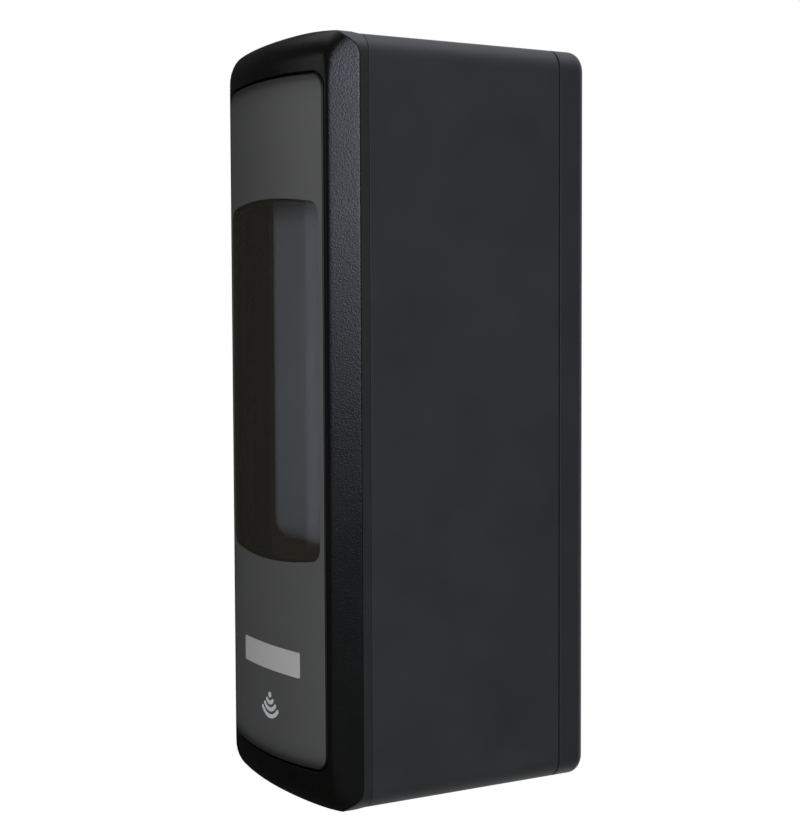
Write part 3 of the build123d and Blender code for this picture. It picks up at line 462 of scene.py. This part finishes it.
side_soft, end_soft, crest_soft = 0.3 * MM, 2.0 * MM, 0.5 * MM


def bow(x, sunk=0.0):
    """Distance off the wall of the bowed front at x: a circle about an upright axis, sunk by a depth."""
    return front_crown - front_r + np.sqrt((front_r - sunk) ** 2 - x ** 2)


def rake(x):
    """Distance off the wall of the raked side: a straight line from the lip to the crease at the side."""
    meet = panel_half_w + panel_gap + lip_w
    slope = (bow(meet, panel_proud) - crease_out) / (half_w - meet)
    return crease_out + (half_w - np.abs(x)) * slope


def browed(x):
    """How many times as high as the case the bezel's outline is at x: 1 at the sides, rising to its crown in
    the middle as a parabola."""
    return 1 + brow / half_h * np.maximum(0, 1 - (x / brow_half) ** 2)


def depth_inside(x, z, half_x, half_z, radius, rise=0.0):
    """How far a point lies inside a rounded rectangle: its radius less the distance from the inner rectangle.
    Where the outline is arched by a rise, heights are stretched back first."""
    z = z / (1 - rise / half_z * (x / half_x) ** 2)
    over_x, over_z = np.abs(x) - half_x + radius, np.abs(z) - half_z + radius
    past = np.hypot(np.maximum(over_x, 0), np.maximum(over_z, 0))
    return radius - past - np.minimum(np.maximum(over_x, over_z), 0)


def round_drop(inside, radius):
    """How far a quarter-round edge has fallen at a distance inside the edge: r - sqrt(r^2 - (r - d)^2)."""
    left = radius - np.clip(inside, 0, radius)
    return radius - np.sqrt(radius ** 2 - left ** 2)


def bezel_face(x, z):
    """Distance off the wall of the bezel's face: the smooth least of the bow, rolled back towards its crown,
    and the raked side, less the rounding of its outline and of the edge of the panel's groove. The mitre
    between them is softer towards the top and foot. The roll ends a little above the crown, so that the crest
    seen from above is an even curve and not a point."""
    in_roll = np.clip(1 - (crown - np.abs(z)) / bezel_roll, 0, 1)
    soft = side_soft + (end_soft - side_soft) * in_roll
    rolled = bow(x, panel_proud) - round_drop(crown + crest_soft - np.abs(z), bezel_roll)
    least = -soft * np.logaddexp(-rolled / soft, -rake(x) / soft)
    rim = round_drop(depth_inside(x, z / browed(x), half_w, half_h, corner_r), crease_round)
    groove = -depth_inside(x, z, panel_half_w + panel_gap, panel_half_h + panel_gap,
                           panel_corner_r + panel_gap, panel_arch)
    return least - rim - round_drop(groove, lip_round)


def over_front(loop, depth):
    """Front-view points at the distance off the wall that a function of x and z gives."""
    return at_depth(loop, depth(loop[:, 0], loop[:, 1]))


seat = outline(panel_half_w + panel_gap, panel_half_h + panel_gap, panel_corner_r + panel_gap,
               rise=panel_arch)
mouth = outline(panel_half_w - panel_ledge, panel_half_h - panel_ledge, panel_corner_r, rise=panel_arch)
front_edge = case_outline(0)
front_edge[:, 1] *= browed(front_edge[:, 0])
tongue_in, tongue_out = wall + slip + tongue_t, wall + slip
band = crown - panel_half_h - panel_gap
side_band = half_w - panel_half_w - panel_gap
shares = np.unique(np.concatenate([
    np.linspace(0, 1, 15),
    1 - bezel_roll / band * (1 - np.sin(turn)),
    1 - crease_round / side_band * (1 - np.sin(turn)),
    lip_round / side_band * (1 - np.cos(turn)),
    (lip_w + 3 * side_soft * np.linspace(-1, 1, 13)) / side_band]))
face_rings = [over_front(seat + share * (front_edge - seat), bezel_face) for share in shares]
collar_out = crease_out - 2 * crease_round
crest_out = front_crown - panel_proud - round_drop(crest_soft, bezel_roll)
collar_z = half_h + brow * (collar_out - bezel_rear) / (crest_out - bezel_rear)
collar = np.stack([front_edge[:, 0], np.clip(front_edge[:, 1], -collar_z, collar_z)], -1)
ledge_out = over_front(seat, lambda x, z: bow(x, panel_t))
ledge_in = over_front(mouth, lambda x, z: bow(x, panel_t))
rear_sunk = panel_t + ledge_t
mouth_rear = over_front(mouth, lambda x, z: bow(x, rear_sunk))
inner = over_front(case_outline(tongue_in),
                   lambda x, z: np.minimum(bow(x, rear_sunk), rake(x) - 2 * bezel_wall))
tail_profile = ((0, bezel_rear), (tongue_out, bezel_rear), (tongue_out, bezel_rear - tongue_l),
                (tongue_in, bezel_rear - tongue_l))
tail = [at_depth(collar, collar_out), *(at_depth(case_outline(inset), out) for inset, out in tail_profile)]

# ABS from a spark-eroded tool: black, with a sandy grain that catches light as fine sparkle on the raked
# sides. The grain is drawn at 0.65 mm, coarser than the real one, so that it shows from where it is looked
# at. The return behind the crease comes from a smoother part of the tool.
bezel_abs = moulded_plastic("spark_eroded_abs_bezel", "#0A0A08", "#0E0E0C", 0.28, 0.65 * MM, 0.055 * MM,
                            specular=0.125)
bezel_abs.node_tree.nodes["Principled BSDF"].inputs["Specular Tint"].default_value = linear("#E8EEFF")
rim_abs = moulded_plastic("satin_abs_bezel_rim", "#1F2021", "#252627", 0.5, 0.45 * MM, 0.008 * MM,
                          specular=0.3)
groove_rings = [mouth_rear, ledge_in, ledge_out]
front_bezel = make_piece("front_bezel_moulding", [skin([*groove_rings, *face_rings, *tail, inner], "joined")],
                         bezel_abs)
front_bezel.data.materials.append(rim_abs)
band_of_face = np.arange(len(front_bezel.data.polygons)) // len(seat)
collar_ring = len(groove_rings) + len(face_rings)
is_rim = np.isin(band_of_face, (collar_ring - 1, collar_ring))
front_bezel.data.polygons.foreach_set("material_index", is_rim.astype(np.int32))
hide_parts("front_bezel")
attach(front_bezel, "cover")

# Front panel
# A bowed sheet of acrylic, painted grey behind except for the window, lies in the bezel's seat and stands a
# little proud of it. Its cut edge is left unpainted and looks black.
window_lo, window_hi = (np.array(corner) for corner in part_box("window_lens"))
lens_gap, lens_t = 0.1 * MM, 1.8 * MM
window_half_w = window_hi[0] + lens_gap
window_half_h = (window_hi[2] - window_lo[2]) / 2 + lens_gap
window_z = (window_hi[2] + window_lo[2]) / 2
window_corner_r, window_ledge, window_arch = 4.5 * MM, 1.2 * MM, 3.0 * MM
panel_round, painted_to = 0.8 * MM, 0.08 * MM
# Widths of the painted shade along the panel's top and bottom edges: the fully dark margin, then its fade.
shaded_margin_w, shade_fade_w = 1.8 * MM, 2.2 * MM
step_sunk = lens_t + 2 * lens_gap


def panel_loop(inset, sunk):
    """The panel's outline drawn in by a distance, on the bowed face sunk by a depth."""
    loop = outline(panel_half_w - inset, panel_half_h - inset, panel_corner_r - inset, rise=panel_arch)
    return over_front(loop, lambda x, z: bow(x, sunk))


def window_loop(inset, sunk):
    """The window's outline drawn in by a distance, on the bowed face sunk by a depth."""
    loop = outline(window_half_w - inset, window_half_h - inset, window_corner_r - inset, window_z,
                   window_arch)
    return over_front(loop, lambda x, z: bow(x, sunk))


edge_rings = [panel_loop(panel_round * (1 - math.cos(a)), panel_round * (1 - math.sin(a))) for a in turn]
flat_in = outline(panel_half_w - panel_round, panel_half_h - panel_round, panel_corner_r - panel_round,
                  rise=panel_arch)
flat_out = outline(window_half_w, window_half_h, window_corner_r, window_z, window_arch)
flat_rings = [over_front(flat_in + share * (flat_out - flat_in), lambda x, z: bow(x))
              for share in np.concatenate([np.linspace(0, 0.1, 13), np.linspace(0.15, 1, 9)])]
step_rings = [window_loop(0, step_sunk), window_loop(window_ledge, step_sunk),
              window_loop(window_ledge, panel_t)]


def painted_acrylic(name, edge_shade, dark, light, roughness):
    """Acrylic over grey paint: a satin face with faint cloudy marks in its gloss. Where the attribute on the
    mesh's points falls to 0, the paint gives way to a darker colour: a painted shade along the sheet's edges."""
    material = moulded_plastic(name, dark, light, roughness, 0.6 * MM, 0.004 * MM, drift=45 * MM)
    tree = material.node_tree
    body = tree.nodes["Principled BSDF"]
    body.inputs["IOR"].default_value = 1.49
    paint = body.inputs["Base Color"].links[0].from_socket
    backing = add(tree, "ShaderNodeAttribute", attribute_name="backing").outputs["Fac"]
    shade = add(tree, "ShaderNodeMixRGB", {"Fac": backing, "Color1": linear(edge_shade), "Color2": paint})
    tree.links.new(shade.outputs["Color"], body.inputs["Base Color"])
    return material


# The first colour, #242424, is a painted shade for the panel's top and bottom margins.
panel_paint = painted_acrylic("grey_backed_satin_acrylic", "#242424", "#484847", "#50504F", 0.42)
panel_edge = moulded_plastic("unpainted_acrylic_edge", "#0B0B0C", "#101011", 0.4, 0.5 * MM, 0.004 * MM,
                             specular=0.1)
front_panel = make_piece("front_panel_sheet",
                         [skin([*edge_rings, *flat_rings, *step_rings, panel_loop(0, panel_t)], "joined")],
                         panel_paint)
front_panel.data.materials.append(panel_edge)
middles = np.zeros(3 * len(front_panel.data.polygons))
front_panel.data.polygons.foreach_get("center", middles)
middles = middles.reshape(-1, 3)
is_edge = bow(middles[:, 0]) + middles[:, 1] > painted_to
front_panel.data.polygons.foreach_set("material_index", is_edge.astype(np.int32))
# Painted shade: within about 1.8 mm of the panel's top and bottom edges the grey paint turns fully to the darker
# colour. Further in, the paint comes back gradually, about two thirds of the way within the next 2.2 mm. The sides
# are left as they are.
corners = np.zeros(3 * len(front_panel.data.vertices))
front_panel.data.vertices.foreach_get("co", corners)
x, z = corners.reshape(-1, 3)[:, 0], corners.reshape(-1, 3)[:, 2]
from_end = panel_half_h - panel_arch * (x / panel_half_w) ** 2 - np.abs(z)
backing = np.clip(1 - np.exp((shaded_margin_w - from_end) / shade_fade_w), 0, 1)
painted_shade_fade_values = front_panel.data.attributes.new("backing", "FLOAT", "POINT").data
painted_shade_fade_values.foreach_set("value", backing.astype(np.float32))
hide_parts("front_panel")
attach(front_panel, "cover")


# Window lens
# A smoked acrylic lens fills the window flush with the panel, polished on both faces, so that the level in
# the bottle can be seen from outside.
def rounded_grid(half_x, half_z, radius, middle, rise=0.0, across_count=49, steps=10):
    """Rounded rectangle as a grid: x is a share of the half width that the outline has at each height, and
    the heights are evenly spaced along the straight sides and by equal angles round the corners. A rise
    arches the top and bottom as in the outline."""
    turn = np.linspace(0, np.pi / 2, steps + 1)
    top = half_z - radius + radius * np.sin(turn)
    straight = np.linspace(-1, 1, 16)[1:-1] * (half_z - radius)
    z = np.concatenate([-top[::-1], straight, top])
    over = np.maximum(np.abs(z) - half_z + radius, 0)
    width = half_x - radius + np.sqrt(np.maximum(radius ** 2 - over ** 2, 0))
    x = np.linspace(-1, 1, across_count) * width[:, None]
    return x, middle + z[:, None] * (1 - rise / half_z * (x / half_x) ** 2)


def sheet_between(x, z, front, back):
    """Closed sheet over a grid of x and z: a face grid, a rear grid and the walls that join their borders."""
    faces = np.stack([np.stack([x, -front, z], -1), np.stack([x, -back, z], -1)])
    index = np.arange(faces[..., 0].size).reshape(faces.shape[:3])
    cells = np.stack([index[:, :-1, :-1], index[:, 1:, :-1], index[:, 1:, 1:], index[:, :-1, 1:]], -1)
    border = [np.concatenate([side[0, :-1], side[:-1, -1], side[-1, :0:-1], side[:0:-1, 0]])
              for side in index]
    rim = np.stack([border[0], np.roll(border[0], -1), np.roll(border[1], -1), border[1]], -1)
    mesh = bpy.data.meshes.new("sheet")
    mesh.from_pydata(faces.reshape(-1, 3).tolist(), [], [*cells.reshape(-1, 4).tolist(), *rim.tolist()])
    return turned_out(mesh)


# Smoked acrylic: clear sheet with a grey dye, polished. Light passes straight through and loses about two
# fifths at each face, and the faces mirror softly.
wipe_w = 25.0 * MM
smoked, smoked_tree, tint = new_material("smoked_polished_acrylic")
tint.inputs["Base Color"].default_value = linear("#36332B")
tint.inputs["IOR"].default_value = 1.49
tint.inputs["Alpha"].default_value = 0.42
lens_place = add(smoked_tree, "ShaderNodeTexCoord").outputs["Object"]
haze = add(smoked_tree, "ShaderNodeTexNoise", {"Vector": lens_place, "Scale": 1 / wipe_w, "Detail": 5.0})
wipe = add(smoked_tree, "ShaderNodeMapRange", {"Value": haze.outputs["Fac"], "From Min": 0.35,
                                               "From Max": 0.7, "To Min": 0.05, "To Max": 0.11})
smoked_tree.links.new(wipe.outputs["Result"], tint.inputs["Roughness"])

lens_x, lens_z = rounded_grid(window_half_w - lens_gap, window_half_h - lens_gap, window_corner_r - lens_gap,
                              window_z, window_arch)
lens = make_piece("window_lens_sheet", [sheet_between(lens_x, lens_z, bow(lens_x, lens_gap),
                                                      bow(lens_x, lens_gap + lens_t))], smoked)
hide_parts("window_lens")
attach(lens, "cover")

# Plate on the panel
# A thin plate of satin aluminium, bare, bonded to the bowed face under the window. Its finish scatters so
# much light that little of it mirrors.
badge_lo, badge_hi = (np.array(corner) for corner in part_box("badge_plate"))
badge_half_h = (badge_hi[2] - badge_lo[2]) / 2
badge_t, badge_corner_r = 0.3 * MM, 0.5 * MM
badge_x, badge_z = rounded_grid(badge_hi[0], badge_half_h, badge_corner_r, badge_lo[2] + badge_half_h,
                                steps=4)
satin_aluminium = bright_metal("satin_aluminium", "#B1AFAC", "#C1BFBC", 0.45, 0.3 * MM, "x")
satin_aluminium.node_tree.nodes["Principled BSDF"].inputs["Metallic"].default_value = 0.2
badge = make_piece("badge_plate_sheet",
                   [sheet_between(badge_x, badge_z, bow(badge_x, -badge_t), bow(badge_x))], satin_aluminium)
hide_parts("badge_plate")
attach(badge, "cover")

# Sensor sign
# A screen-printed sign in light grey ink under the plate: a dot and three waves that spread downwards, as on
# any touch-free tap or dispenser.
sign_x, sign_drop = 0.5 * MM, 10.6 * MM
sign_z = badge_lo[2] - sign_drop
dot_r = 1.25 * MM
wave_radii = np.array([3.2, 6.0, 8.8]) * MM
stroke = 0.85 * MM
wave_reach = math.radians(48)
ink_t = 0.05 * MM
ink = moulded_plastic("light_grey_ink", "#B4B5B6", "#BFC0C1", 0.55, 0.3 * MM, 0.004 * MM, specular=0.3)


def wave(radius):
    """An arc about the dot, drawn downwards with round ends: s runs along it and past each end by half its
    width, where the width shrinks as a half circle does. Seven points lie across it."""
    reach = radius * wave_reach
    past = stroke * np.sin(np.linspace(0, np.pi / 2, 8))
    s = np.concatenate([-reach - past[::-1], np.linspace(-reach, reach, 24)[1:-1], reach + past])
    half = np.sqrt(np.maximum(stroke ** 2 - np.maximum(np.abs(s) - reach, 0) ** 2, 0))
    across_stroke = radius + np.linspace(-1, 1, 7) * half[:, None]
    angle = (s / radius)[:, None]
    return sign_x + across_stroke * np.sin(angle), sign_z - across_stroke * np.cos(angle)


dot_rows, dot_columns = np.linspace(-1, 1, 17)[:, None], np.linspace(-1, 1, 9)
dot_x = sign_x + dot_r * dot_columns * np.sqrt(1 - dot_rows ** 2)
dot_z = sign_z + dot_r * dot_rows + np.zeros(len(dot_columns))
marks = [(dot_x, dot_z), *(wave(radius) for radius in wave_radii)]
sign = make_piece("sensor_sign_print", [sheet_between(x, z, bow(x, -ink_t), bow(x)) for x, z in marks], ink)
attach(sign, "cover")

# Studio
# A pale floor well below the object and a white surround, with one large soft lamp at the front right and
# weaker ones at the left and above. The faint bluish one mirrors in the polished window. A dim round of
# studio, open behind the object, only mirrors in glossy faces.
floor_drop, floor_half = 0.75, 12.0
floor_z = -half_h - floor_drop
floor_corners = [(x * floor_half, y * floor_half, floor_z) for x, y in ((-1, -1), (1, -1), (1, 1), (-1, 1))]
floor_mesh = bpy.data.meshes.new("floor")
floor_mesh.from_pydata(floor_corners, [], [(0, 1, 2, 3)])
floor = bpy.data.objects.new("floor", floor_mesh)
bpy.context.collection.objects.link(floor)


def white_to_the_eye(tree, plain):
    """A shader that is plain white, strength 1, wherever it is looked at, mirrored or seen through, and the
    plain shader for all other light."""
    path = add(tree, "ShaderNodeLightPath").outputs
    seen = path["Is Camera Ray"]
    for ray in ("Is Glossy Ray", "Is Transmission Ray"):
        seen = add(tree, "ShaderNodeMath", {0: seen, 1: path[ray]}, operation="MAXIMUM").outputs[0]
    kind = "ShaderNodeBackground" if plain.bl_idname == "ShaderNodeBackground" else "ShaderNodeEmission"
    white = add(tree, kind, {"Color": (1, 1, 1, 1), "Strength": 1.0})
    return add(tree, "ShaderNodeMixShader", {0: seen, 1: plain.outputs[0], 2: white.outputs[0]}).outputs[0]


floor_paint, floor_tree, pale = new_material("pale_floor")
pale.inputs["Base Color"].default_value = linear("#E8E8E8")
pale.inputs["Roughness"].default_value = 0.9
floor_tree.links.new(white_to_the_eye(floor_tree, pale),
                     floor_tree.nodes["Material Output"].inputs["Surface"])
floor_mesh.materials.append(floor_paint)

world = bpy.data.worlds.new("studio")
bpy.context.scene.world = world
world.use_nodes = True
fill = world.node_tree.nodes["Background"]
fill.inputs["Color"].default_value = linear("#E4E8EE")
fill.inputs["Strength"].default_value = 0.3
world.node_tree.links.new(white_to_the_eye(world.node_tree, fill),
                          world.node_tree.nodes["World Output"].inputs["Surface"])


def soft_lamp(name, place, aim, width, height, power, colour):
    """A soft box of a width and height at a place, facing a point."""
    lamp = bpy.data.lights.new(name, "AREA")
    lamp.shape = "RECTANGLE"
    lamp.size, lamp.size_y = width, height
    lamp.energy = power
    lamp.color = linear(colour)[:3]
    stand = bpy.data.objects.new(name, lamp)
    stand.location = place
    stand.rotation_euler = (Vector(aim) - Vector(place)).to_track_quat("-Z", "Y").to_euler()
    bpy.context.collection.objects.link(stand)


soft_lamp("key", (1.65, -1.11, 0.35), (0.0, -0.06, 0.0), 0.6, 0.6, 28.0, "#FFFFFF")
soft_lamp("left", (-1.35, -1.8, 0.55), (0.0, -0.06, 0.0), 0.5, 0.5, 1.5, "#FFFFFF")
soft_lamp("daylight", (-1.36, -1.83, -0.05), (0.03, -0.12, -0.05), 0.4, 0.57, 0.62, "#D2DCFF")
soft_lamp("overhead", (0.3, 0.3, 1.6), (0.0, -0.05, 0.0), 0.8, 0.8, 10.0, "#E6ECFF")

studio_r, studio_top, studio_foot = 2.6, 2.2, floor_z + 0.02
round_from, round_to, round_points = 150, 430, 51
studio_turn = np.radians(np.linspace(round_from, round_to, round_points))
around = np.stack([np.cos(studio_turn), np.sin(studio_turn)], -1)
studio_rows = np.stack([np.column_stack([reach * around, np.full(round_points, z)]) for reach, z in (
    (0.0, studio_foot), (studio_r, studio_foot), (studio_r, studio_top))])
index = np.arange(studio_rows[..., 0].size).reshape(studio_rows.shape[:2])
studio_faces = np.stack([index[:-1, :-1], index[:-1, 1:], index[1:, 1:], index[1:, :-1]], -1).reshape(-1, 4)
studio_mesh = bpy.data.meshes.new("dim_studio")
studio_mesh.from_pydata(studio_rows.reshape(-1, 3).tolist(), [], studio_faces.tolist())
studio = bpy.data.objects.new("dim_studio", studio_mesh)
bpy.context.collection.objects.link(studio)
studio.visible_camera = False
studio.visible_diffuse = False
studio.visible_shadow = False
studio.visible_transmission = False
dim_paint, _, dim = new_material("dim_studio_wall")
dim.inputs["Base Color"].default_value = linear("#303030")
studio_mesh.materials.append(dim_paint)

# Camera
# The photograph's view: from the right and a little above the middle, with a long lens held almost level.
camera_place = Vector((0.6310, -0.4398, 0.0429))
camera_turn, camera_dip, camera_roll = (math.radians(a) for a in (58.97, 3.34, -0.24))
focal_px, frame_px = 1744.9, 833
ahead = Vector((-math.sin(camera_turn) * math.cos(camera_dip), math.cos(camera_turn) * math.cos(camera_dip),
                -math.sin(camera_dip)))
level = Vector((math.cos(camera_turn), math.sin(camera_turn), 0))
upward = level.cross(ahead)
right = level * math.cos(camera_roll) + upward * math.sin(camera_roll)
up = upward * math.cos(camera_roll) - level * math.sin(camera_roll)
camera_data = bpy.data.cameras.new("camera")
camera_data.sensor_width = 36.0
camera_data.lens = camera_data.sensor_width * focal_px / frame_px
camera = bpy.data.objects.new("camera", camera_data)
camera.matrix_world = Matrix.Translation(camera_place) @ Matrix((right, up, -ahead)).transposed().to_4x4()
bpy.context.collection.objects.link(camera)
bpy.context.scene.camera = camera
bpy.context.scene.view_settings.view_transform = "Standard"
